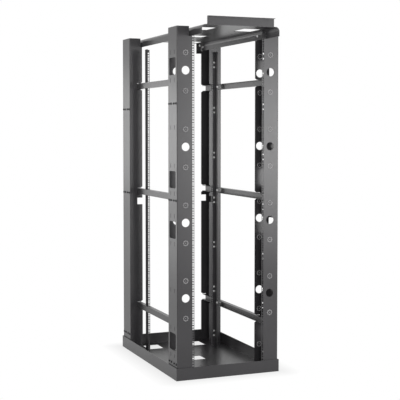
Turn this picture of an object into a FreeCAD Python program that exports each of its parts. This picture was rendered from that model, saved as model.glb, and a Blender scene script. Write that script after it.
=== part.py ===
import FreeCAD, Part
import os
from FreeCAD import Vector

os.makedirs("parts", exist_ok=True)

# Four post open frame rack. Millimetres, +Z up, front towards -Y.
# The origin lies on the floor, in the middle of the width, half way between the
# front edge of the top panel's lip and the back of the base.

# Overall sizes
HEIGHT = 2133.6
DEPTH = 1066.8

# Rack mounting standard: clear opening, hole columns, rack unit and square holes
CLEAR_OPENING = 450.0
HOLE_INSET = 7.55
RACK_UNIT = 44.45
UNIT_STEPS = (6.35, 22.225, 38.1)
SQUARE_HOLE = 9.5
RAIL_BOTTOM = 78.1
RAIL_CLEAR = 10.0

# Fit between neighbouring pieces
SEAT = 0.3

# Base tray
BASE_SHEET = 3.0
SKIRT_TOP = 76.0

# Posts: folded channels, open towards the middle of the rack
POST_INSET = 6.35
POST_SHEET = 2.5
POST_BEND = 4.0
POST_DEPTH = 152.4
POST_FLANGE = 88.9
POST_MIDDLE_DROP = 4.8
RAIL_STRIP = 22.65

# Round cable holes in both flanges of the front posts
ROUND_HOLE = 50.8
ROUND_PITCH = 457.2
ROUND_LOWEST = 499.0

# Windows in the outer webs of the front posts, mirrored about the posts' middle
WEB_WINDOW_DEPTH = 106.0
WEB_WINDOW_HEIGHT = 104.0
WEB_WINDOW_CORNER = 7.0
WEB_WINDOW_LOWEST = 227.0
WEB_WINDOW_OFFSET = 152.5

# Upright slots above and below each web window, and half way along each half
SLOT_HEIGHT = 26.0
SLOT_WIDTH = 5.0
SLOT_SPREAD = 33.0
SLOT_FROM_WINDOW = 84.0
SLOT_OFFSET = 494.0
SLOT_DROP = 27.0

# Pairs of square holes in the back flanges of the front posts
PAIR_HOLE = 10.0
PAIR_FROM_SIDE = 36.4
PAIR_GAP = 31.75
PAIR_PITCH = 317.5
PAIR_DROP = 35.0

# Side bars: small channels that lie in notches of the flanges
BAR_HEIGHT = 38.1
BAR_SHEET = 2.0
BAR_INSET = 35.25
BAR_WIDTH = 27.0
BAR_SPREAD = 747.0
BAR_RISE = 36.0
NOTCH_CLEAR = 1.2
NOTCH_LEAD = 12.0
NOTCH_FLARE = 9.0
SPARE_DROP = 33.0
SPARE_HEIGHT = 44.45

# Rear rails: punched strip, with a leg that reaches forward along the bars
REAR_RAIL_AHEAD = 89.0
REAR_RAIL_SHEET = 2.0
REAR_RAIL_LEG = 50.0
REAR_RAIL_DROP = 81.6

# Top tray: plate with two turned down sides, reaching out in front of the posts
TRAY_SHEET = 3.0
TRAY_DROP = 4.1
TRAY_SIDE = 55.0
TRAY_BEND = 26.0
TRAY_LAP = 4.25
TRAY_REACH = 175.0
TRAY_CLEAR = 7.0
TRAY_PLAY = 1.5

# Upright panel on the front edge of the tray
PANEL_INSET = 36.4
PANEL_HEIGHT = 48.5
PANEL_SHEET = 3.0
PANEL_LIP = 16.0
PANEL_FOOT = 12.0

# Gussets below the tray, level with the back flanges of the back posts
GUSSET_SHEET = 2.5
GUSSET_WIDTH = 37.0
GUSSET_HEIGHT = 71.5

# Windows of the base plate: two in front, one amid, two at the back
BASE_WINDOW_WIDTH = 110.0
BASE_WINDOW_LENGTH = 130.0
BASE_WINDOW_EDGE = 132.0
BASE_WINDOW_MARGIN = 47.0
BASE_MIDDLE_WIDTH = 92.0
BASE_MIDDLE_LENGTH = 110.0

# Windows of the top tray, placed from the front, the middle and the back of the base
TRAY_WINDOW_WIDTH = 120.0
TRAY_WINDOW_EDGE = 135.0
TRAY_FRONT_LEAD = 25.0
TRAY_FRONT_LENGTH = 175.0
TRAY_MIDDLE_WIDTH = 140.0
TRAY_MIDDLE_LENGTH = 130.0
TRAY_MIDDLE_SETBACK = 26.6
TRAY_BACK_MARGIN = 22.0
TRAY_BACK_LENGTH = 120.0

# Planes that several pieces share, across the width
OPENING_EDGE = -CLEAR_OPENING / 2
HOLE_COLUMN = OPENING_EDGE - HOLE_INSET
FLANGE_EDGE = OPENING_EDGE - RAIL_STRIP
POST_LEFT = FLANGE_EDGE - POST_FLANGE
LEFT = POST_LEFT - POST_INSET
BAR_LEFT = FLANGE_EDGE - BAR_INSET
BAR_RIGHT = BAR_LEFT + BAR_WIDTH
TRAY_LEFT = FLANGE_EDGE - TRAY_LAP

# From front to back
PANEL_FRONT = -(PANEL_LIP + TRAY_REACH + DEPTH) / 2
TRAY_FRONT = PANEL_FRONT + PANEL_LIP
FRONT = TRAY_FRONT + TRAY_REACH
BACK = FRONT + DEPTH
POST_FRONT = FRONT + POST_INSET
FRONT_POST_BACK = POST_FRONT + POST_DEPTH
POST_BACK = BACK - POST_INSET
BACK_POST_FRONT = POST_BACK - POST_DEPTH
RAIL_FACE = BACK_POST_FRONT - REAR_RAIL_AHEAD

# Upwards
POST_MIDDLE = HEIGHT / 2 - POST_MIDDLE_DROP
REAR_RAIL_TOP = HEIGHT - REAR_RAIL_DROP
TRAY_TOP = HEIGHT - TRAY_DROP
TRAY_UNDERSIDE = TRAY_TOP - TRAY_SHEET
TRAY_SIDE_BOTTOM = TRAY_TOP - TRAY_SIDE
SPARE_NOTCH = POST_MIDDLE - SPARE_DROP
BAR_CENTRES = {
    "lower": POST_MIDDLE - BAR_SPREAD,
    "middle": POST_MIDDLE + BAR_RISE,
    "upper": POST_MIDDLE + BAR_SPREAD,
}
WEB_WINDOW_CENTRES = (
    WEB_WINDOW_LOWEST,
    POST_MIDDLE - WEB_WINDOW_OFFSET,
    POST_MIDDLE + WEB_WINDOW_OFFSET,
    2 * POST_MIDDLE - WEB_WINDOW_LOWEST,
)


def block(x0, x1, y0, y1, z0, z1):
    """Box between two corners."""
    return Part.makeBox(x1 - x0, y1 - y0, z1 - z0, Vector(x0, y0, z0))


def mirrored(shape):
    """The same piece on the right side."""
    return shape.mirror(Vector(0, 0, 0), Vector(1, 0, 0))


def merged(shapes):
    """One solid from pieces that share faces."""
    return shapes[0].fuse(shapes[1:]).removeSplitter()


def rounded_along(shape, axis, places, radius):
    """Round the edges along an axis that stand at the given places of the other two axes."""
    across = [name for name in "XYZ" if name != axis]
    edges = []
    for edge in shape.Edges:
        box = edge.BoundBox
        straight = all(getattr(box, name + "Length") < 0.01 for name in across)
        spot = [getattr(box, name + "Min") for name in across]
        for place in places:
            if straight and max(abs(spot[0] - place[0]), abs(spot[1] - place[1])) < 0.01:
                edges.append(edge)
    return shape.makeFillet(radius, edges)


def whole_units(top):
    """Rack units that fit below a height."""
    return int((top - RAIL_CLEAR - RAIL_BOTTOM) // RACK_UNIT)


def square_holes(units, y0, y1):
    """Square holes of one rail, three in each rack unit."""
    cutters = []
    half = SQUARE_HOLE / 2
    for unit in range(units):
        for step in UNIT_STEPS:
            z = RAIL_BOTTOM + unit * RACK_UNIT + step
            cutters.append(block(HOLE_COLUMN - half, HOLE_COLUMN + half, y0, y1, z - half, z + half))
    return Part.makeCompound(cutters)


def round_holes(y0, y1):
    """Round cable holes, amid the width of the punched face."""
    x = (POST_LEFT + OPENING_EDGE) / 2
    count = 1 + int((TRAY_SIDE_BOTTOM - ROUND_HOLE - ROUND_LOWEST) // ROUND_PITCH)
    cutters = []
    for index in range(count):
        start = Vector(x, y0, ROUND_LOWEST + index * ROUND_PITCH)
        cutters.append(Part.makeCylinder(ROUND_HOLE / 2, y1 - y0, start, Vector(0, 1, 0)))
    return cutters


def hole_pairs(y0, y1):
    """Pairs of square holes near the outer web."""
    x = LEFT + PAIR_FROM_SIDE
    half = PAIR_HOLE / 2
    middle = POST_MIDDLE - PAIR_DROP
    steps = int((middle - BASE_SHEET - PAIR_GAP) // PAIR_PITCH)
    cutters = []
    for step in range(-steps, steps + 1):
        for side in (-1, 1):
            z = middle + step * PAIR_PITCH + side * PAIR_GAP / 2
            cutters.append(block(x - half, x + half, y0, y1, z - half, z + half))
    return cutters


def web_cutter(y, z, depth, height):
    """Rectangle through the outer web."""
    x0 = POST_LEFT - 1
    x1 = POST_LEFT + POST_SHEET + 1
    return block(x0, x1, y - depth / 2, y + depth / 2, z - height / 2, z + height / 2)


def web_windows(middle):
    """Windows of the outer web, with cut corners."""
    cutters = []
    for centre in WEB_WINDOW_CENTRES:
        window = web_cutter(middle, centre, WEB_WINDOW_DEPTH, WEB_WINDOW_HEIGHT)
        edges = [edge for edge in window.Edges if edge.BoundBox.XLength > 1]
        cutters.append(window.makeChamfer(WEB_WINDOW_CORNER, edges))
    return cutters


def web_slots(middle):
    """Two upright slots side by side at each height."""
    half_way = POST_MIDDLE - SLOT_DROP
    heights = [half_way - SLOT_OFFSET, half_way + SLOT_OFFSET]
    for centre in WEB_WINDOW_CENTRES:
        heights += [centre - SLOT_FROM_WINDOW, centre + SLOT_FROM_WINDOW]
    cutters = []
    for z in heights:
        for y in (middle - SLOT_SPREAD, middle + SLOT_SPREAD):
            cutters.append(web_cutter(y, z, SLOT_WIDTH, SLOT_HEIGHT))
    return cutters


def bar_notches(y0, y1):
    """Notches of the side bars in the inner edge of a flange, flared at the mouth."""
    x0 = BAR_LEFT - NOTCH_CLEAR
    x1 = FLANGE_EDGE - NOTCH_LEAD
    x2 = FLANGE_EDGE + 1
    cutters = []
    for centre in BAR_CENTRES.values():
        z0 = centre - BAR_HEIGHT / 2
        z1 = centre + BAR_HEIGHT / 2 + 2 * NOTCH_CLEAR
        low = z0 - NOTCH_FLARE
        high = z1 + NOTCH_FLARE
        outline = ((x0, z0), (x1, z0), (x2, low), (x2, high), (x1, z1), (x0, z1), (x0, z0))
        face = Part.Face(Part.makePolygon([Vector(x, y0, z) for x, z in outline]))
        cutters.append(face.extrude(Vector(0, y1 - y0, 0)))
    return cutters


def spare_notch(y0, y1):
    """Unused notch below the middle bar."""
    half = SPARE_HEIGHT / 2
    return block(BAR_LEFT - NOTCH_CLEAR, FLANGE_EDGE + 1, y0, y1, SPARE_NOTCH - half, SPARE_NOTCH + half)


def tray_notch(y0, y1, inner_edge):
    """Corner cut out of a flange, where the tray's side rests."""
    return block(TRAY_LEFT - TRAY_CLEAR, inner_edge + 1, y0, y1, TRAY_SIDE_BOTTOM, HEIGHT + 1)


def tray_slot(y0, y1):
    """Slot for the tray in the punched face, which goes on inside it up to the tray's plate."""
    x0 = TRAY_LEFT + TRAY_SHEET + TRAY_PLAY
    z1 = TRAY_UNDERSIDE - SEAT
    kept = block(x0, OPENING_EDGE + 2, y0 - 1, y1 + 1, TRAY_SIDE_BOTTOM - 1, z1)
    kept = rounded_along(kept, "Y", ((x0, z1),), TRAY_BEND - TRAY_SHEET - TRAY_PLAY)
    return tray_notch(y0, y1, OPENING_EDGE).cut(kept)


def post_channel(y0, front_edge):
    """Folded channel: outer web, back flange, and front flange out to front_edge."""
    z0 = BASE_SHEET
    y1 = y0 + POST_DEPTH
    outer = block(POST_LEFT, FLANGE_EDGE, y0, y1, z0, HEIGHT)
    outer = rounded_along(outer, "Z", ((POST_LEFT, y0), (POST_LEFT, y1)), POST_BEND)
    inner_x = POST_LEFT + POST_SHEET
    inner_y0 = y0 + POST_SHEET
    inner_y1 = y1 - POST_SHEET
    inner = block(inner_x, FLANGE_EDGE + 1, inner_y0, inner_y1, z0 - 1, HEIGHT + 1)
    corners = ((inner_x, inner_y0), (inner_x, inner_y1))
    channel = outer.cut(rounded_along(inner, "Z", corners, POST_BEND - POST_SHEET))
    if front_edge > FLANGE_EDGE:
        wing = block(FLANGE_EDGE, front_edge, y0, inner_y0, z0, HEIGHT)
        channel = merged([channel, wing])
    return channel


def front_post():
    """Left front post: punched rail, round holes, and windows and slots in the web."""
    post = post_channel(POST_FRONT, OPENING_EDGE)
    middle = (POST_FRONT + FRONT_POST_BACK) / 2
    face = (POST_FRONT - 1, POST_FRONT + POST_SHEET + 1)
    back = (FRONT_POST_BACK - POST_SHEET - 1, FRONT_POST_BACK + 1)
    cutters = [square_holes(whole_units(TRAY_UNDERSIDE), *face), tray_slot(*face)]
    cutters += [tray_notch(*back, FLANGE_EDGE)]
    cutters += round_holes(face[0], back[1])
    cutters += web_windows(middle) + web_slots(middle)
    cutters += bar_notches(*back) + hole_pairs(*back)
    return post.cut(cutters)


def back_post():
    """Left back post, with notches in both flanges."""
    post = post_channel(BACK_POST_FRONT, FLANGE_EDGE)
    cutters = []
    for y in (BACK_POST_FRONT, POST_BACK - POST_SHEET):
        span = (y - 1, y + POST_SHEET + 1)
        cutters += bar_notches(*span)
        cutters += [spare_notch(*span), tray_notch(*span, FLANGE_EDGE)]
    return post.cut(cutters)


def side_bar(centre):
    """Left side bar, from inside the front post to the back flange of the back post."""
    y0 = POST_FRONT + POST_SHEET + SEAT
    y1 = POST_BACK - POST_SHEET
    z0 = centre - BAR_HEIGHT / 2
    z1 = centre + BAR_HEIGHT / 2
    bar = block(BAR_LEFT, BAR_RIGHT, y0, y1, z0, z1)
    hollow = block(BAR_LEFT + BAR_SHEET, BAR_RIGHT + 1, y0 - 1, y1 + 1, z0 + BAR_SHEET, z1 - BAR_SHEET)
    return bar.cut(hollow)


def rear_rail():
    """Left rear rail: stands on the base plate, its leg lies against the side bars."""
    y0 = RAIL_FACE
    y1 = y0 + REAR_RAIL_SHEET
    strip = block(BAR_RIGHT, OPENING_EDGE, y0, y1, BASE_SHEET, REAR_RAIL_TOP)
    leg = block(BAR_RIGHT, BAR_RIGHT + REAR_RAIL_SHEET, y1 - REAR_RAIL_LEG, y1, BASE_SHEET, REAR_RAIL_TOP)
    return merged([strip, leg]).cut(square_holes(whole_units(REAR_RAIL_TOP), y0 - 1, y1 + 1))


def side_windows(edge, width, y0, length, z0, z1):
    """Cutters for a left and a right window."""
    window = block(LEFT + edge, LEFT + edge + width, y0, y0 + length, z0, z1)
    return [window, mirrored(window)]


def middle_window(width, middle, length, z0, z1):
    """Cutter for the window in the middle of the width."""
    return block(-width / 2, width / 2, middle - length / 2, middle + length / 2, z0, z1)


def base_plate():
    """Floor of the base tray."""
    plate = block(LEFT, -LEFT, FRONT, BACK, 0, BASE_SHEET)
    z = (-1, BASE_SHEET + 1)
    cutters = [middle_window(BASE_MIDDLE_WIDTH, (FRONT + BACK) / 2, BASE_MIDDLE_LENGTH, *z)]
    back_row = BACK - BASE_WINDOW_MARGIN - BASE_WINDOW_LENGTH
    for y0 in (FRONT + BASE_WINDOW_MARGIN, back_row):
        cutters += side_windows(BASE_WINDOW_EDGE, BASE_WINDOW_WIDTH, y0, BASE_WINDOW_LENGTH, *z)
    return plate.cut(cutters)


def base_end_wall(y0, y1):
    """Front or back wall of the base tray, over the full width."""
    return block(LEFT, -LEFT, y0, y1, BASE_SHEET, SKIRT_TOP)


def base_side_wall():
    """Left wall of the base tray, between the end walls."""
    return block(LEFT, LEFT + BASE_SHEET, FRONT + BASE_SHEET, BACK - BASE_SHEET, BASE_SHEET, SKIRT_TOP)


def top_tray():
    """Plate with windows and two turned down sides, joined by wide bends."""
    y0 = TRAY_FRONT
    y1 = POST_BACK
    body = block(TRAY_LEFT, -TRAY_LEFT, y0, y1, TRAY_SIDE_BOTTOM, TRAY_TOP)
    body = rounded_along(body, "Y", ((TRAY_LEFT, TRAY_TOP), (-TRAY_LEFT, TRAY_TOP)), TRAY_BEND)
    x = TRAY_LEFT + TRAY_SHEET
    hollow = block(x, -x, y0 - 1, y1 + 1, TRAY_SIDE_BOTTOM - 1, TRAY_UNDERSIDE)
    hollow = rounded_along(hollow, "Y", ((x, TRAY_UNDERSIDE), (-x, TRAY_UNDERSIDE)), TRAY_BEND - TRAY_SHEET)
    z = (TRAY_UNDERSIDE - 1, TRAY_TOP + 1)
    middle = (FRONT + BACK) / 2 + TRAY_MIDDLE_SETBACK
    cutters = [hollow, middle_window(TRAY_MIDDLE_WIDTH, middle, TRAY_MIDDLE_LENGTH, *z)]
    front_row = (FRONT - TRAY_FRONT_LEAD, TRAY_FRONT_LENGTH)
    back_row = (BACK - TRAY_BACK_MARGIN - TRAY_BACK_LENGTH, TRAY_BACK_LENGTH)
    for row in (front_row, back_row):
        cutters += side_windows(TRAY_WINDOW_EDGE, TRAY_WINDOW_WIDTH, *row, *z)
    return body.cut(cutters)


def front_panel():
    """Upright panel on the tray's front edge: lip forward at the top, foot backward."""
    half = -TRAY_LEFT - PANEL_INSET
    y0 = TRAY_FRONT
    y1 = y0 + PANEL_SHEET
    z0 = TRAY_TOP
    z1 = z0 + PANEL_HEIGHT
    upright = block(-half, half, y0, y1, z0, z1)
    lip = block(-half, half, PANEL_FRONT, y0, z1 - PANEL_SHEET, z1)
    foot = block(-half, half, y1, y0 + PANEL_FOOT, z0, z0 + PANEL_SHEET)
    return merged([upright, lip, foot])


def gusset():
    """Left plate below the tray, level with the back flange of the back post."""
    x0 = FLANGE_EDGE + SEAT
    z0 = TRAY_UNDERSIDE - GUSSET_HEIGHT
    z1 = TRAY_UNDERSIDE - SEAT
    plate = block(x0, x0 + GUSSET_WIDTH, POST_BACK - GUSSET_SHEET, POST_BACK, z0, z1)
    return rounded_along(plate, "Y", ((x0, z1),), TRAY_BEND - TRAY_LAP - SEAT)


parts = {
    "base_plate": base_plate(),
    "base_front_wall": base_end_wall(FRONT, FRONT + BASE_SHEET),
    "base_back_wall": base_end_wall(BACK - BASE_SHEET, BACK),
    "top_tray": top_tray(),
    "top_front_panel": front_panel(),
}
pairs = {
    "base_{}_wall": base_side_wall(),
    "post_front_{}": front_post(),
    "post_back_{}": back_post(),
    "rail_back_{}": rear_rail(),
    "gusset_back_{}": gusset(),
}
for level, centre in BAR_CENTRES.items():
    pairs["bar_{}_" + level] = side_bar(centre)
for name, shape in pairs.items():
    parts[name.format("left")] = shape
    parts[name.format("right")] = mirrored(shape)

for name, shape in parts.items():
    shape.exportStep("parts/" + name + ".step")
    print(name, len(shape.Solids), shape.isValid(), round(shape.Volume))
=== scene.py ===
import math

import bpy
from bpy.props import FloatProperty, FloatVectorProperty, IntProperty, PointerProperty
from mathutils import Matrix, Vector


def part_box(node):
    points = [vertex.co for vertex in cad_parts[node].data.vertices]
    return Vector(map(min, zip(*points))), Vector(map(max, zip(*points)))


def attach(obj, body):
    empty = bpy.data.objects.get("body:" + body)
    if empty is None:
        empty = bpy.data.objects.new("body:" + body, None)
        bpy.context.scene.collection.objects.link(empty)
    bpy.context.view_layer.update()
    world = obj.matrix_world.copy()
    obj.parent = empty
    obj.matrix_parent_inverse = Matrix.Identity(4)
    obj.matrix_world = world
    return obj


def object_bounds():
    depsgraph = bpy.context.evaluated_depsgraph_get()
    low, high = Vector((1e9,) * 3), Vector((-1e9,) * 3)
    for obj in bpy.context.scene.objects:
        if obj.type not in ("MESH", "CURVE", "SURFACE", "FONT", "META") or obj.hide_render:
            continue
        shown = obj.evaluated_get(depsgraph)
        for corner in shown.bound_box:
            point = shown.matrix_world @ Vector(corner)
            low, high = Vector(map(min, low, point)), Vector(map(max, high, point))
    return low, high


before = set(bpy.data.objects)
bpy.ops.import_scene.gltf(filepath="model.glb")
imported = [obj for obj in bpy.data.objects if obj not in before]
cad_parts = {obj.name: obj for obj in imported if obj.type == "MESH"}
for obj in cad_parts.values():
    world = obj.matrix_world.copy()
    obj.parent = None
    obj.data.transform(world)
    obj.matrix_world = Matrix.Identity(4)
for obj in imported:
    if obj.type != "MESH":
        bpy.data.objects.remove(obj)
CAD_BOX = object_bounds()

bl_info = {
    "name": "Open Frame Rack Dressing",
    "version": (1, 0, 0),
    "blender": (4, 5, 0),
    "location": "3D View > Sidebar > Rack",
    "description": "Powder coat, knockouts, bolts, studio stage and camera for a four post rack",
    "category": "Object",
}

BODY = "root"
MM = 0.001
QUARTER_TURN = math.radians(90)
SIDES = (("left", 1), ("right", -1))

# Boxes of the pieces that carry the details
FRONT_POST_LOW, FRONT_POST_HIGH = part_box("post_front_left")
BACK_POST_LOW, BACK_POST_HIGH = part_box("post_back_left")
RAIL_LOW, RAIL_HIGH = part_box("rail_back_left")
TRAY_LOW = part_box("top_tray")[0]
GUSSET_LOW, GUSSET_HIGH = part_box("gusset_back_left")
BASE_LOW, BASE_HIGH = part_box("base_plate")
BARS = [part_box("bar_left_" + level) for level in ("lower", "middle", "upper")]

# Thickness of the sheets
POST_SHEET = 2.5 * MM
BAR_SHEET = 2.0 * MM
RAIL_SHEET = 2.0 * MM
TRAY_SHEET = 3.0 * MM

# Rack units of the punched rails: bottom of the lowest one and height of each
UNITS_BOTTOM = 78.1 * MM
RACK_UNIT = 44.45 * MM

# Bolts, measured from the edges of the pieces they hold
LEG_BOLT_BACK = 6.5 * MM
BAR_BOLT_BACK = 10.0 * MM
TRAY_BOLT_UP = 26.0 * MM
TRAY_BOLT_BACK = 121.0 * MM
GUSSET_BOLT_IN, GUSSET_BOLT_DOWN = 12.0 * MM, 13.0 * MM
FLANGE_BOLT_OUT, FLANGE_BOLT_DOWN = 16.2 * MM, 28.0 * MM

# Square nuts of the rear rails: distance from the rail's edge, drop of a pair below its unit's
# middle, distance of each nut from the pair's middle, height of the nut and of its seat
RAIL_NUT_IN = 9.5 * MM
RAIL_NUT_DROP = 5.0 * MM
RAIL_NUT_STEP = 15.9 * MM
RAIL_NUT_HEIGHT = 2.4 * MM
RAIL_NUT_SEAT = 0.4 * MM

# Rivet nuts: heights of their rows, width of the rim and the face's share of the rim's diameter
FRONT_ROWS = (0.096, 1.089, 1.673)
BACK_ROWS = (0.112, 1.086, 1.655)
RIVET_RIM = 1.8 * MM
RIVET_RIM_KNOBS = 8
RIVET_FACE = 0.85

# Faces round the repeated shapes, and the bolt head's chamfer as shares of its height and width
RING_SIDES = 28
BEAD_SIDES = 6
DOT_SIDES, DOT_RINGS = 10, 6
BOLT_SIDES = 6
NUT_SIDES = 4
WASHER_SIDES = 24
CHAMFER_HEIGHT = 0.25
CHAMFER_TOP = 0.8

# Range that holds nearly all values of a noise texture
NOISE_LOW, NOISE_HIGH = 0.3, 0.7

# Powder coat: size of mottle and clouds, colours of clouds and of rubbed edges with their
# painted highlight as multiples of the paint, drift of the gloss, strength of the grain, and the
# finish of knockouts and rivet nuts
MOTTLE_PER_GRAIN = 0.08
CLOUDS_PER_METRE = 2.6
CLOUD_DARK, CLOUD_LIGHT = 0.86, 1.16
RUB_HIGHLIGHT_LIGHT, RUB_HIGHLIGHT_SHARE = 2.4, 0.4
GLOSS_DRIFT = 0.01
GRAIN_STRENGTH = 0.4
KNOCKOUT_ROUGHNESS, KNOCKOUT_LIFT = 0.6, 0.5
RIVET_ROUGHNESS = 0.5

# Rubbed edges, painted lighter as a highlight where edges catch light: samples of the rounded
# normal, its dot product with the true one at a fully rubbed edge, and the noise range and least
# share of the patches that break the edges up
EDGE_SAMPLES = 4
EDGE_TURN = 0.8
PATCH_LOW, PATCH_HIGH, PATCH_LEAST = 0.35, 0.65, 0.25

# Zinc plating: share of metal, colours as multiples of the steel's, and roughness
ZINC_METAL = 0.25
ZINC_DARK, ZINC_LIGHT = 0.85, 1.1
ZINC_SMOOTH, ZINC_ROUGH = 0.3, 0.45

# Floor: roughness, and the speckle's size and darkest share of the floor's colour
FLOOR_ROUGHNESS = 0.9
SPECKLES_PER_METRE = 9.0
SPECKLE_DARK = 0.985

# Place and size of every lamp; all look at the middle of the rack
LAMPS = {
    "side_lamp": ((-4.6, -1.6, 3.0), 2.6),
    "front_lamp": ((2.85, -5.3, 1.42), 1.8),
    "fill_lamp": ((-2.0, -6.6, 2.1), 2.0),
    "back_lamp": ((-2.6, 5.0, 1.5), 1.3),
    "low_lamp": ((-2.9, 4.8, 0.35), 0.8),
}

# Camera of the photograph, found from the rack's standard hole pitch
CAMERA_PLACE = (-2.4684, -6.0535, 1.5195)
CAMERA_TURN = 22.077
CAMERA_DIP = 2.893
CAMERA_LENS = 90.62
CAMERA_SENSOR = 36.0
CAMERA_SHIFT = -0.05
CAMERA_REACH = 200


class RackFinishSettings(bpy.types.PropertyGroup):
    """Paint of the sheet steel"""

    paint: FloatVectorProperty(
        name="Paint", description="Colour of the powder coat", subtype="COLOR",
        default=(0.040, 0.0385, 0.041), min=0, max=1)
    roughness: FloatProperty(
        name="Roughness", description="Mean roughness of the coat", subtype="FACTOR",
        default=0.3, min=0, max=1)
    shine: FloatProperty(
        name="Shine", description="Strength of the coat's reflection", subtype="FACTOR",
        default=0.35, min=0, max=1)
    grain: FloatProperty(
        name="Grain", description="Distance between grains of the coat", subtype="DISTANCE",
        default=0.0014, min=0.0002)
    grain_height: FloatProperty(
        name="Grain Height", description="Height of the grains", subtype="DISTANCE",
        default=0.00003, min=0)
    # Width of the edge band painted lighter: rubbed paint together with a painted highlight
    edge_width: FloatProperty(
        name="Edge Width", description="Width of the rubbed band along edges", subtype="DISTANCE",
        default=0.0009, min=0)


class RackMarkSettings(bpy.types.PropertyGroup):
    """Round knockouts of the post flanges"""

    pitch: FloatProperty(
        name="Pitch", description="Height between two knockouts", subtype="DISTANCE",
        default=0.2286, min=0.01)
    middle: FloatProperty(
        name="Middle", description="Height of the middle knockout", subtype="DISTANCE",
        default=1.062, min=0)
    count: IntProperty(
        name="Count", description="Knockouts above and below the middle one", default=4, min=0)
    across: FloatProperty(
        name="Diameter", description="Diameter of the ring line", subtype="DISTANCE",
        default=0.027, min=0.001)
    line: FloatProperty(
        name="Line", description="Width of the ring line", subtype="DISTANCE",
        default=0.0030, min=0.0001)
    knobs: IntProperty(name="Knobs", description="Knobs around the ring", default=8, min=3)
    knob: FloatProperty(
        name="Knob", description="Diameter of a knob", subtype="DISTANCE",
        default=0.0062, min=0.0001)
    knob_spread: FloatProperty(
        name="Knob Spread", description="Diameter of the circle of knobs", subtype="DISTANCE",
        default=0.031, min=0.001)
    dot: FloatProperty(
        name="Dot", description="Diameter of the dimple in the middle", subtype="DISTANCE",
        default=0.006, min=0.0001)
    # Ring colour far lighter than the coat: a painted highlight for the light the pressed knockout
    # edges catch
    ring_highlight: FloatVectorProperty(
        name="Worn Paint", description="Colour of the thin paint on the ring", subtype="COLOR",
        default=(0.36, 0.355, 0.36), min=0, max=1)
    from_side: FloatProperty(
        name="From Side", description="Knockout's distance from the side of the base",
        subtype="DISTANCE", default=0.0621, min=0)


class RackBoltSettings(bpy.types.PropertyGroup):
    """Hexagon bolts, rivet nuts and square nuts"""

    across: FloatProperty(
        name="Across Flats", description="Width of the bolt's head", subtype="DISTANCE",
        default=0.010, min=0.001)
    height: FloatProperty(
        name="Height", description="Height of the bolt's head", subtype="DISTANCE",
        default=0.004, min=0.0005)
    washer: FloatProperty(
        name="Washer", description="Diameter of the washer", subtype="DISTANCE",
        default=0.016, min=0.001)
    washer_height: FloatProperty(
        name="Washer Height", description="Thickness of the washer", subtype="DISTANCE",
        default=0.0012, min=0.0001)
    steel: FloatVectorProperty(
        name="Steel", description="Colour of the zinc plated steel", subtype="COLOR",
        default=(0.86, 0.86, 0.85), min=0, max=1)
    black: FloatVectorProperty(
        name="Black", description="Colour of the black rivet nuts", subtype="COLOR",
        default=(0.008, 0.008, 0.009), min=0, max=1)
    eyelet: FloatProperty(
        name="Rivet Nut", description="Diameter of a rivet nut's flange", subtype="DISTANCE",
        default=0.0145, min=0.001)
    eyelet_near: FloatProperty(
        name="Inner Rivet Nuts", description="Distance of the inner two from the web's middle",
        subtype="DISTANCE", default=0.0235, min=0.005)
    eyelet_far: FloatProperty(
        name="Outer Rivet Nuts", description="Distance of the outer two from the web's middle",
        subtype="DISTANCE", default=0.059, min=0.005)
    nut: FloatProperty(
        name="Square Nut", description="Width of the square nuts on the rear rails",
        subtype="DISTANCE", default=0.011, min=0.001)
    nut_units: IntProperty(
        name="Nut Spacing", description="Rack units between two pairs of square nuts",
        default=7, min=1)


class RackStageSettings(bpy.types.PropertyGroup):
    """Floor, lamps and surroundings"""

    floor: FloatVectorProperty(
        name="Floor", description="Colour of the floor", subtype="COLOR",
        default=(0.9, 0.9, 0.9), min=0, max=1)
    reach: FloatProperty(
        name="Reach", description="Half the width of the floor", subtype="DISTANCE",
        default=30.0, min=1)
    shadow_reach: FloatProperty(
        name="Shadow Reach", description="Distance from the base at which the shadow has faded",
        subtype="DISTANCE", default=0.14, min=0.01)
    whiteness: FloatProperty(
        name="Whiteness", description="Share of plain white in the floor at the base",
        subtype="FACTOR", default=0.75, min=0, max=1)
    sky: FloatProperty(
        name="Sky", description="Light of the surroundings on matt surfaces", default=0.32, min=0)
    side_lamp: FloatProperty(
        name="Side Lamp", description="Power of the lamp at the left", subtype="POWER",
        default=25.0, min=0)
    front_lamp: FloatProperty(
        name="Front Lamp", description="Power of the lamp in front at the right", subtype="POWER",
        default=134.0, min=0)
    fill_lamp: FloatProperty(
        name="Fill Lamp", description="Power of the lamp beside the camera", subtype="POWER",
        default=130.0, min=0)
    back_lamp: FloatProperty(
        name="Back Lamp", description="Power of the lamp behind at the left", subtype="POWER",
        default=18.0, min=0)
    low_lamp: FloatProperty(
        name="Low Lamp", description="Power of the small low lamp behind", subtype="POWER",
        default=8.0, min=0)


def new_group(name, inputs, outputs, kind="ShaderNodeTree"):
    """Node group with named sockets; returns the tree, its input and output node."""
    tree = bpy.data.node_groups.new(name, kind)
    for label, socket, value in inputs:
        made = tree.interface.new_socket(name=label, in_out="INPUT", socket_type=socket)
        if value is not None:
            made.default_value = value
    for label, socket in outputs:
        tree.interface.new_socket(name=label, in_out="OUTPUT", socket_type=socket)
    return tree, tree.nodes.new("NodeGroupInput"), tree.nodes.new("NodeGroupOutput")


def feed(tree, value, socket):
    """Link an output to a socket, or write a plain value into it."""
    if isinstance(value, bpy.types.NodeSocket):
        tree.links.new(value, socket)
    else:
        socket.default_value = value


def math_node(tree, operation, first, second=None):
    """Math node from sockets or numbers; returns its output."""
    made = tree.nodes.new("ShaderNodeMath")
    made.operation = operation
    feed(tree, first, made.inputs[0])
    if second is not None:
        feed(tree, second, made.inputs[1])
    return made.outputs[0]


def half(tree, value):
    """Half of a socket's value."""
    return math_node(tree, "MULTIPLY", value, 0.5)


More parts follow.
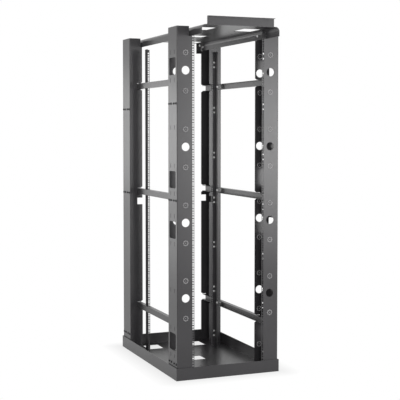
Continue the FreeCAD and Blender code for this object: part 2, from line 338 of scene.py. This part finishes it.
def noise(tree, vector, scale, detail):
    """Noise texture on a vector; scale is a socket or a number."""
    made = tree.nodes.new("ShaderNodeTexNoise")
    made.inputs["Detail"].default_value = detail
    tree.links.new(vector, made.inputs["Vector"])
    feed(tree, scale, made.inputs["Scale"])
    return made.outputs["Fac"]


def span(tree, value, low, high, to_low, to_high):
    """Map a value from one range to another; returns the output."""
    made = tree.nodes.new("ShaderNodeMapRange")
    tree.links.new(value, made.inputs["Value"])
    made.inputs["From Min"].default_value = low
    made.inputs["From Max"].default_value = high
    made.inputs["To Min"].default_value = to_low
    made.inputs["To Max"].default_value = to_high
    return made.outputs["Result"]


def tinted(colour, factor):
    """A colour times a factor, held to white, with full alpha."""
    return (*[min(1.0, channel * factor) for channel in colour], 1)


def colour_mix(tree, first, second, share):
    """Blend of two colours by a socket; returns the output."""
    made = tree.nodes.new("ShaderNodeMix")
    made.data_type = "RGBA"
    feed(tree, first, made.inputs["A"])
    feed(tree, second, made.inputs["B"])
    tree.links.new(share, made.inputs["Factor"])
    return made.outputs["Result"]


def rays_of(tree, *kinds):
    """1 on rays of the named kinds and 0 on all others."""
    path = tree.nodes.new("ShaderNodeLightPath")
    seen = path.outputs[kinds[0]]
    for kind in kinds[1:]:
        seen = math_node(tree, "MAXIMUM", seen, path.outputs[kind])
    return seen


def coat_grain_group():
    """Fine pebbled grain of sprayed powder: a height, a slow mottle and wide clouds."""
    tree, ins, outs = new_group(
        "coat_grain",
        [("Vector", "NodeSocketVector", None), ("Grain Size", "NodeSocketFloat", 0.0014)],
        [("Height", "NodeSocketFloat"), ("Mottle", "NodeSocketFloat"),
         ("Cloud", "NodeSocketFloat")])
    scale = math_node(tree, "DIVIDE", 1.0, ins.outputs["Grain Size"])
    slower = math_node(tree, "MULTIPLY", scale, MOTTLE_PER_GRAIN)
    vector = ins.outputs["Vector"]
    tree.links.new(noise(tree, vector, scale, 2.0), outs.inputs["Height"])
    tree.links.new(noise(tree, vector, slower, 3.0), outs.inputs["Mottle"])
    tree.links.new(noise(tree, vector, CLOUDS_PER_METRE, 2.0), outs.inputs["Cloud"])


def edge_rub_and_highlight_group():
    """Mask of edges and corners, broken up by noise, where paint gets rubbed and a highlight is
    painted.
    """
    tree, ins, outs = new_group(
        "edge_rub",
        [("Vector", "NodeSocketVector", None), ("Width", "NodeSocketFloat", 0.0012),
         ("Patch Size", "NodeSocketFloat", 0.03)],
        [("Mask", "NodeSocketFloat")])
    bevel = tree.nodes.new("ShaderNodeBevel")
    bevel.samples = EDGE_SAMPLES
    tree.links.new(ins.outputs["Width"], bevel.inputs["Radius"])
    surface = tree.nodes.new("ShaderNodeNewGeometry")
    turned = tree.nodes.new("ShaderNodeVectorMath")
    turned.operation = "DOT_PRODUCT"
    tree.links.new(bevel.outputs["Normal"], turned.inputs[0])
    tree.links.new(surface.outputs["Normal"], turned.inputs[1])
    edge = span(tree, turned.outputs["Value"], 1.0, EDGE_TURN, 0.0, 1.0)
    scale = math_node(tree, "DIVIDE", 1.0, ins.outputs["Patch Size"])
    patches = span(tree, noise(tree, ins.outputs["Vector"], scale, 4.0),
                   PATCH_LOW, PATCH_HIGH, PATCH_LEAST, 1.0)
    tree.links.new(math_node(tree, "MULTIPLY", edge, patches), outs.inputs["Mask"])


def group_node(tree, name, vector, values):
    """Place a shader group with its own values."""
    made = tree.nodes.new("ShaderNodeGroup")
    made.node_tree = bpy.data.node_groups[name]
    tree.links.new(vector, made.inputs["Vector"])
    for label, value in values.items():
        made.inputs[label].default_value = value
    return made


def coated_steel(name, paint, roughness, finish, lift=1.0):
    """Painted sheet steel: grain, mottled gloss, faint clouds, and edges painted lighter as wear
    and as a painted highlight.
    """
    material = bpy.data.materials.new(name)
    material.use_nodes = True
    tree = material.node_tree
    shader = tree.nodes["Principled BSDF"]
    shader.inputs["Specular IOR Level"].default_value = finish.shine
    vector = tree.nodes.new("ShaderNodeTexCoord").outputs["Object"]
    grain = group_node(tree, "coat_grain", vector, {"Grain Size": finish.grain})
    rub_highlight = group_node(tree, "edge_rub", vector, {"Width": finish.edge_width}).outputs["Mask"]

    clouds = span(tree, grain.outputs["Cloud"], NOISE_LOW, NOISE_HIGH, 0.0, 1.0)
    colour = colour_mix(tree, tinted(paint, CLOUD_DARK), tinted(paint, CLOUD_LIGHT), clouds)
    # Edges painted lighter: partly rubbed paint, partly a painted highlight for the light the edges
    # catch
    colour = colour_mix(tree, colour, tinted(paint, RUB_HIGHLIGHT_LIGHT * lift),
                        math_node(tree, "MULTIPLY", rub_highlight, RUB_HIGHLIGHT_SHARE))
    tree.links.new(colour, shader.inputs["Base Color"])

    gloss = span(tree, grain.outputs["Mottle"], NOISE_LOW, NOISE_HIGH,
                 roughness + GLOSS_DRIFT, roughness - GLOSS_DRIFT)
    gloss = math_node(tree, "SUBTRACT", gloss, math_node(tree, "MULTIPLY", rub_highlight, GLOSS_DRIFT))
    tree.links.new(gloss, shader.inputs["Roughness"])
    bump = tree.nodes.new("ShaderNodeBump")
    bump.inputs["Distance"].default_value = finish.grain_height
    bump.inputs["Strength"].default_value = GRAIN_STRENGTH
    tree.links.new(grain.outputs["Height"], bump.inputs["Height"])
    tree.links.new(bump.outputs["Normal"], shader.inputs["Normal"])
    return material


def plated_steel(name, colour, finish):
    """Zinc plated steel: bright and blotchy."""
    material = bpy.data.materials.new(name)
    material.use_nodes = True
    tree = material.node_tree
    shader = tree.nodes["Principled BSDF"]
    shader.inputs["Metallic"].default_value = ZINC_METAL
    vector = tree.nodes.new("ShaderNodeTexCoord").outputs["Object"]
    mottle = group_node(tree, "coat_grain", vector, {"Grain Size": finish.grain}).outputs["Mottle"]
    blotch = colour_mix(tree, tinted(colour, ZINC_DARK), tinted(colour, ZINC_LIGHT), mottle)
    tree.links.new(blotch, shader.inputs["Base Color"])
    dull = span(tree, mottle, NOISE_LOW, NOISE_HIGH, ZINC_SMOOTH, ZINC_ROUGH)
    tree.links.new(dull, shader.inputs["Roughness"])
    return material


def ring_mark_tree():
    """Ring line with knobs outside it and a dimple in its middle, on every point."""
    tree, ins, outs = new_group(
        "ring_marks",
        [("Geometry", "NodeSocketGeometry", None), ("Diameter", "NodeSocketFloat", 0.027),
         ("Line", "NodeSocketFloat", 0.003), ("Knobs", "NodeSocketInt", 8),
         ("Knob", "NodeSocketFloat", 0.006), ("Knob Spread", "NodeSocketFloat", 0.031),
         ("Dot", "NodeSocketFloat", 0.006), ("Turn", "NodeSocketVector", None),
         ("Material", "NodeSocketMaterial", None)],
        [("Geometry", "NodeSocketGeometry")], "GeometryNodeTree")
    ring = tree.nodes.new("GeometryNodeCurvePrimitiveCircle")
    ring.inputs["Resolution"].default_value = RING_SIDES
    tree.links.new(half(tree, ins.outputs["Diameter"]), ring.inputs["Radius"])
    bead = tree.nodes.new("GeometryNodeCurvePrimitiveCircle")
    bead.inputs["Resolution"].default_value = BEAD_SIDES
    tree.links.new(half(tree, ins.outputs["Line"]), bead.inputs["Radius"])
    swept = tree.nodes.new("GeometryNodeCurveToMesh")
    tree.links.new(ring.outputs["Curve"], swept.inputs["Curve"])
    tree.links.new(bead.outputs["Curve"], swept.inputs["Profile Curve"])
    dot = tree.nodes.new("GeometryNodeMeshUVSphere")
    dot.inputs["Segments"].default_value = DOT_SIDES
    dot.inputs["Rings"].default_value = DOT_RINGS
    tree.links.new(half(tree, ins.outputs["Dot"]), dot.inputs["Radius"])
    knob_places = tree.nodes.new("GeometryNodeMeshCircle")
    tree.links.new(ins.outputs["Knobs"], knob_places.inputs["Vertices"])
    tree.links.new(half(tree, ins.outputs["Knob Spread"]), knob_places.inputs["Radius"])
    knob = tree.nodes.new("GeometryNodeMeshIcoSphere")
    tree.links.new(half(tree, ins.outputs["Knob"]), knob.inputs["Radius"])
    knobs = tree.nodes.new("GeometryNodeInstanceOnPoints")
    tree.links.new(knob_places.outputs["Mesh"], knobs.inputs["Points"])
    tree.links.new(knob.outputs["Mesh"], knobs.inputs["Instance"])
    mark = tree.nodes.new("GeometryNodeJoinGeometry")
    for shape in (swept.outputs["Mesh"], dot.outputs["Mesh"], knobs.outputs["Instances"]):
        tree.links.new(shape, mark.inputs["Geometry"])
    finish_repeat(tree, ins, outs, mark.outputs["Geometry"])
    return tree


def bolt_tree():
    """Head with flat sides and a chamfered top on a washer, on every point."""
    tree, ins, outs = new_group(
        "bolts",
        [("Geometry", "NodeSocketGeometry", None), ("Sides", "NodeSocketInt", 6),
         ("Across Flats", "NodeSocketFloat", 0.01), ("Height", "NodeSocketFloat", 0.004),
         ("Washer", "NodeSocketFloat", 0.016), ("Washer Height", "NodeSocketFloat", 0.0012),
         ("Turn", "NodeSocketVector", None), ("Material", "NodeSocketMaterial", None)],
        [("Geometry", "NodeSocketGeometry")], "GeometryNodeTree")
    sides = ins.outputs["Sides"]
    half_side = math_node(tree, "COSINE", math_node(tree, "DIVIDE", math.pi, sides))
    corner = math_node(tree, "DIVIDE", half(tree, ins.outputs["Across Flats"]), half_side)
    top_corner = math_node(tree, "MULTIPLY", corner, CHAMFER_TOP)
    chamfer = math_node(tree, "MULTIPLY", ins.outputs["Height"], CHAMFER_HEIGHT)
    flats = math_node(tree, "SUBTRACT", ins.outputs["Height"], chamfer)
    washer_radius = half(tree, ins.outputs["Washer"])
    washer_height = ins.outputs["Washer Height"]
    above = math_node(tree, "ADD", washer_height, flats)
    levels = (
        ("washer", WASHER_SIDES, washer_radius, washer_radius, washer_height, None),
        ("head", sides, corner, corner, flats, washer_height),
        ("top", sides, corner, top_corner, chamfer, above),
    )
    joined = tree.nodes.new("GeometryNodeJoinGeometry")
    for label, corners, bottom, top, height, lift in levels:
        cone = tree.nodes.new("GeometryNodeMeshCone")
        cone.label = label
        feed(tree, corners, cone.inputs["Vertices"])
        tree.links.new(bottom, cone.inputs["Radius Bottom"])
        tree.links.new(top, cone.inputs["Radius Top"])
        tree.links.new(height, cone.inputs["Depth"])
        place = tree.nodes.new("GeometryNodeTransform")
        tree.links.new(cone.outputs["Mesh"], place.inputs["Geometry"])
        if lift is not None:
            up = tree.nodes.new("ShaderNodeCombineXYZ")
            tree.links.new(lift, up.inputs["Z"])
            tree.links.new(up.outputs["Vector"], place.inputs["Translation"])
        tree.links.new(place.outputs["Geometry"], joined.inputs["Geometry"])
    finish_repeat(tree, ins, outs, joined.outputs["Geometry"])
    return tree


def finish_repeat(tree, ins, outs, shape):
    """Turn the shape, put it on every point, realize it and set its material."""
    turned = tree.nodes.new("GeometryNodeTransform")
    repeat = tree.nodes.new("GeometryNodeInstanceOnPoints")
    real = tree.nodes.new("GeometryNodeRealizeInstances")
    painted = tree.nodes.new("GeometryNodeSetMaterial")
    tree.links.new(shape, turned.inputs["Geometry"])
    tree.links.new(ins.outputs["Turn"], turned.inputs["Rotation"])
    tree.links.new(ins.outputs["Geometry"], repeat.inputs["Points"])
    tree.links.new(turned.outputs["Geometry"], repeat.inputs["Instance"])
    tree.links.new(repeat.outputs["Instances"], real.inputs["Geometry"])
    tree.links.new(real.outputs["Geometry"], painted.inputs["Geometry"])
    tree.links.new(ins.outputs["Material"], painted.inputs["Material"])
    tree.links.new(painted.outputs["Geometry"], outs.inputs["Geometry"])


REPEATS = {"ring_marks": ring_mark_tree, "bolts": bolt_tree}


def repeated(name, kind, points, values, material):
    """Plain mesh piece with a repeating tree's shape on the given points."""
    group = bpy.data.node_groups.get(kind) or REPEATS[kind]()
    mesh = bpy.data.meshes.new(name)
    mesh.from_pydata(points, [], [])
    piece = bpy.data.objects.new(name, mesh)
    bpy.context.scene.collection.objects.link(piece)
    modifier = piece.modifiers.new("repeat", "NODES")
    modifier.node_group = group
    wanted = dict(values, Material=material)
    for item in group.interface.items_tree:
        if item.in_out == "INPUT" and item.name in wanted:
            modifier[item.identifier] = wanted[item.name]
    graph = bpy.context.evaluated_depsgraph_get()
    result = bpy.data.meshes.new_from_object(piece.evaluated_get(graph))
    piece.modifiers.remove(modifier)
    piece.data = result
    bpy.data.meshes.remove(mesh)
    result.name = name
    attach(piece, BODY)


class RACK_OT_paint_sheets(bpy.types.Operator):
    """Give every sheet of the rack its powder coat"""

    bl_idname = "rack.paint_sheets"
    bl_label = "Paint Sheets"

    def execute(self, context):
        finish = context.scene.rack_finish
        coat_grain_group()
        edge_rub_and_highlight_group()
        coat = coated_steel("powder_coat_sheet", finish.paint, finish.roughness, finish)
        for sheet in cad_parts.values():
            sheet.data.materials.clear()
            sheet.data.materials.append(coat)
        return {"FINISHED"}


class RACK_OT_add_knockouts(bpy.types.Operator):
    """Press the round knockouts into the flanges of the front posts"""

    bl_idname = "rack.add_knockouts"
    bl_label = "Add Knockouts"

    def execute(self, context):
        marks = context.scene.rack_marks
        finish = context.scene.rack_finish
        # The knockouts take the light ring colour as a painted highlight, with less of the lighter
        # edge paint on top
        coat = coated_steel("knockout_paint", marks.ring_highlight, KNOCKOUT_ROUGHNESS, finish,
                            lift=KNOCKOUT_LIFT)
        values = {
            "Diameter": marks.across, "Line": marks.line, "Knobs": marks.knobs, "Knob": marks.knob,
            "Knob Spread": marks.knob_spread, "Dot": marks.dot, "Turn": (QUARTER_TURN, 0, 0),
        }
        steps = range(-marks.count, marks.count + 1)
        heights = [marks.middle + marks.pitch * step for step in steps]
        # Both faces of each flange and the heights of its rings; the front one starts a ring higher
        flanges = {
            "front": ((FRONT_POST_LOW.y, FRONT_POST_LOW.y + POST_SHEET), heights[1:]),
            "back": ((FRONT_POST_HIGH.y - POST_SHEET, FRONT_POST_HIGH.y), heights),
        }
        for side, sign in SIDES:
            x = sign * (BASE_LOW.x + marks.from_side)
            for flange, (faces, rings) in flanges.items():
                points = [(x, y, z) for y in faces for z in rings]
                repeated(f"knockouts_{flange}_{side}", "ring_marks", points, values, coat)
        return {"FINISHED"}


class RACK_OT_add_rivet_nuts(bpy.types.Operator):
    """Set rows of four black rivet nuts into the webs of the posts"""

    bl_idname = "rack.add_rivet_nuts"
    bl_label = "Add Rivet Nuts"

    def execute(self, context):
        bolts = context.scene.rack_bolts
        black = coated_steel("rivet_nut_black", bolts.black, RIVET_ROUGHNESS,
                             context.scene.rack_finish)
        values = {
            "Diameter": bolts.eyelet, "Line": RIVET_RIM, "Knobs": RIVET_RIM_KNOBS,
            "Knob": RIVET_RIM, "Knob Spread": bolts.eyelet, "Dot": bolts.eyelet * RIVET_FACE,
            "Turn": (0, QUARTER_TURN, 0),
        }
        posts = {
            "front": (FRONT_POST_LOW, FRONT_POST_HIGH, FRONT_ROWS),
            "back": (BACK_POST_LOW, BACK_POST_HIGH, BACK_ROWS),
        }
        steps = (bolts.eyelet_near, bolts.eyelet_far)
        for side, sign in SIDES:
            for post, (low, high, heights) in posts.items():
                middle = (low.y + high.y) / 2
                places = [middle + end * step for end in (-1, 1) for step in steps]
                faces = (sign * low.x, sign * (low.x + POST_SHEET))
                points = [(x, y, z) for x in faces for y in places for z in heights]
                repeated(f"rivet_nuts_{post}_{side}", "ring_marks", points, values, black)
        return {"FINISHED"}


class RACK_OT_add_bolts(bpy.types.Operator):
    """Bolt rear rails, bars, tray and gussets, and put square nuts on the rear rails"""

    bl_idname = "rack.add_bolts"
    bl_label = "Add Bolts"

    def execute(self, context):
        bolts = context.scene.rack_bolts
        steel = plated_steel("zinc_plated_steel", bolts.steel, context.scene.rack_finish)
        bolt = {
            "Sides": BOLT_SIDES, "Across Flats": bolts.across, "Height": bolts.height,
            "Washer": bolts.washer, "Washer Height": bolts.washer_height,
        }
        nut = {
            "Sides": NUT_SIDES, "Across Flats": bolts.nut, "Height": RAIL_NUT_HEIGHT,
            "Washer": bolts.nut, "Washer Height": RAIL_NUT_SEAT,
        }
        for side, sign in SIDES:
            inward = dict(bolt, Turn=(0, sign * QUARTER_TURN, 0))
            forward = dict(bolt, Turn=(QUARTER_TURN, 0, 0))
            square = dict(nut, Turn=(QUARTER_TURN, QUARTER_TURN / 2, 0))
            repeated(f"bar_bolts_{side}", "bolts", self.bar_places(sign), inward, steel)
            repeated(f"tray_bolts_{side}", "bolts", self.tray_places(sign), inward, steel)
            repeated(f"gusset_bolts_{side}", "bolts", self.gusset_places(sign), forward, steel)
            repeated(f"rail_nuts_{side}", "bolts", self.nut_places(sign, bolts.nut_units),
                     square, steel)
        return {"FINISHED"}

    def bar_places(self, sign):
        """One on the rail's leg and one on the bar's web beyond it, at every bar."""
        points = []
        for low, high in BARS:
            z = (low.z + high.z) / 2
            points.append((sign * (RAIL_LOW.x + RAIL_SHEET), RAIL_LOW.y + LEG_BOLT_BACK, z))
            points.append((sign * (low.x + BAR_SHEET), RAIL_LOW.y + BAR_BOLT_BACK, z))
        return points

    def tray_places(self, sign):
        """One through the tray's side at each post."""
        x = sign * (TRAY_LOW.x + TRAY_SHEET)
        z = TRAY_LOW.z + TRAY_BOLT_UP
        return [(x, post.y + TRAY_BOLT_BACK, z) for post in (FRONT_POST_LOW, BACK_POST_LOW)]

    def gusset_places(self, sign):
        """One on the gusset and one lower down on the post's back flange beside it."""
        y = GUSSET_LOW.y
        return [(sign * (GUSSET_LOW.x + GUSSET_BOLT_IN), y, GUSSET_HIGH.z - GUSSET_BOLT_DOWN),
                (sign * (GUSSET_LOW.x - FLANGE_BOLT_OUT), y, GUSSET_HIGH.z - FLANGE_BOLT_DOWN)]

    def nut_places(self, sign, spacing):
        """Pairs beside the rail's holes, every few rack units."""
        x = sign * (RAIL_LOW.x + RAIL_NUT_IN)
        y = RAIL_HIGH.y - RAIL_SHEET
        units = int((RAIL_HIGH.z - UNITS_BOTTOM) / RACK_UNIT)
        points = []
        for unit in range(0, units, spacing):
            middle = UNITS_BOTTOM + RACK_UNIT * (unit + 0.5) - RAIL_NUT_DROP
            points += [(x, y, middle - RAIL_NUT_STEP), (x, y, middle + RAIL_NUT_STEP)]
        return points


def lamp(name, place, aim, size, power):
    """Square soft lamp that looks at a point."""
    data = bpy.data.lights.new(name, "AREA")
    data.shape = "SQUARE"
    data.size = size
    data.energy = power
    made = bpy.data.objects.new(name, data)
    made.location = place
    made.rotation_euler = (Vector(aim) - Vector(place)).to_track_quat("-Z", "Y").to_euler()
    bpy.context.scene.collection.objects.link(made)


class RACK_OT_set_stage(bpy.types.Operator):
    """Lay the pale floor and set lamps, surroundings and camera"""

    bl_idname = "rack.set_stage"
    bl_label = "Set Stage"

    def execute(self, context):
        stage = context.scene.rack_stage
        self.lay_floor(context, stage)
        self.set_surroundings(context, stage)
        middle = (0, 0, CAD_BOX[1].z / 2)
        for name, (place, size) in LAMPS.items():
            lamp(name, place, middle, size, getattr(stage, name))
        self.set_camera(context)
        return {"FINISHED"}

    def lay_floor(self, context, stage):
        """Wide plane under the rack."""
        reach = stage.reach
        mesh = bpy.data.meshes.new("floor")
        corners = [(-reach, -reach, 0), (reach, -reach, 0), (reach, reach, 0), (-reach, reach, 0)]
        mesh.from_pydata(corners, [], [(0, 1, 2, 3)])
        floor = bpy.data.objects.new("floor", mesh)
        context.scene.collection.objects.link(floor)
        mesh.materials.append(self.pale_floor(stage))

    def pale_floor(self, stage):
        """Matt floor near the base, and plain white where it is seen further away."""
        material = bpy.data.materials.new("pale_floor")
        material.use_nodes = True
        tree = material.node_tree
        matt = tree.nodes["Principled BSDF"]
        matt.inputs["Roughness"].default_value = FLOOR_ROUGHNESS
        matt.inputs["Specular IOR Level"].default_value = 0.0
        vector = tree.nodes.new("ShaderNodeTexCoord").outputs["Object"]
        speckle = noise(tree, vector, SPECKLES_PER_METRE, 3.0)
        colour = colour_mix(tree, tinted(stage.floor, SPECKLE_DARK), tinted(stage.floor, 1.0),
                            speckle)
        tree.links.new(colour, matt.inputs["Base Color"])

        split = tree.nodes.new("ShaderNodeSeparateXYZ")
        tree.links.new(vector, split.inputs["Vector"])
        squares = []
        for axis in range(2):
            middle = (BASE_LOW[axis] + BASE_HIGH[axis]) / 2
            half_width = (BASE_HIGH[axis] - BASE_LOW[axis]) / 2
            offset = math_node(tree, "SUBTRACT", split.outputs[axis], middle)
            beyond = math_node(tree, "SUBTRACT", math_node(tree, "ABSOLUTE", offset), half_width)
            outside = math_node(tree, "MAXIMUM", beyond, 0.0)
            squares.append(math_node(tree, "POWER", outside, 2.0))
        from_base = math_node(tree, "SQRT", math_node(tree, "ADD", *squares))
        far = span(tree, from_base, 0.0, stage.shadow_reach, stage.whiteness, 1.0)
        seen = rays_of(tree, "Is Camera Ray", "Is Glossy Ray")
        white = tree.nodes.new("ShaderNodeEmission")
        blend = tree.nodes.new("ShaderNodeMixShader")
        tree.links.new(math_node(tree, "MULTIPLY", far, seen), blend.inputs["Fac"])
        tree.links.new(matt.outputs["BSDF"], blend.inputs[1])
        tree.links.new(white.outputs["Emission"], blend.inputs[2])
        tree.links.new(blend.outputs["Shader"], tree.nodes["Material Output"].inputs["Surface"])
        return material

    def set_surroundings(self, context, stage):
        """White where it is seen, dimmer as light on matt surfaces."""
        world = bpy.data.worlds.new("studio")
        world.use_nodes = True
        tree = world.node_tree
        background = tree.nodes["Background"]
        seen = rays_of(tree, "Is Camera Ray", "Is Glossy Ray", "Is Transmission Ray")
        strength = span(tree, seen, 0.0, 1.0, stage.sky, 1.0)
        background.inputs["Color"].default_value = (1, 1, 1, 1)
        tree.links.new(strength, background.inputs["Strength"])
        context.scene.world = world

    def set_camera(self, context):
        """Camera where the photograph was taken."""
        data = bpy.data.cameras.new("photo_camera")
        data.sensor_width = CAMERA_SENSOR
        data.lens = CAMERA_LENS
        data.shift_y = CAMERA_SHIFT
        data.clip_end = CAMERA_REACH
        camera = bpy.data.objects.new("photo_camera", data)
        camera.location = CAMERA_PLACE
        camera.rotation_euler = (math.radians(90 - CAMERA_DIP), 0, math.radians(-CAMERA_TURN))
        context.scene.collection.objects.link(camera)
        context.scene.camera = camera
        context.scene.view_settings.view_transform = "Standard"


OPERATORS = (RACK_OT_paint_sheets, RACK_OT_add_knockouts, RACK_OT_add_rivet_nuts,
             RACK_OT_add_bolts, RACK_OT_set_stage)
SETTINGS = {
    "rack_finish": RackFinishSettings,
    "rack_marks": RackMarkSettings,
    "rack_bolts": RackBoltSettings,
    "rack_stage": RackStageSettings,
}


class RACK_PT_dressing(bpy.types.Panel):
    """Sizes and colours of the rack, and the steps that build it"""

    bl_idname = "RACK_PT_dressing"
    bl_label = "Open Frame Rack"
    bl_space_type = "VIEW_3D"
    bl_region_type = "UI"
    bl_category = "Rack"

    def draw(self, context):
        for key, settings in SETTINGS.items():
            box = self.layout.box()
            for label in settings.__annotations__:
                box.prop(getattr(context.scene, key), label)
        for operator in OPERATORS:
            self.layout.operator(operator.bl_idname)


CLASSES = (*SETTINGS.values(), *OPERATORS, RACK_PT_dressing)


def register():
    for item in CLASSES:
        bpy.utils.register_class(item)
    for key, settings in SETTINGS.items():
        setattr(bpy.types.Scene, key, PointerProperty(type=settings))


def unregister():
    for key in SETTINGS:
        delattr(bpy.types.Scene, key)
    for item in reversed(CLASSES):
        bpy.utils.unregister_class(item)


def main():
    register()
    for operator in OPERATORS:
        group, name = operator.bl_idname.split(".")
        getattr(getattr(bpy.ops, group), name)()


if __name__ == "__main__":
    main()
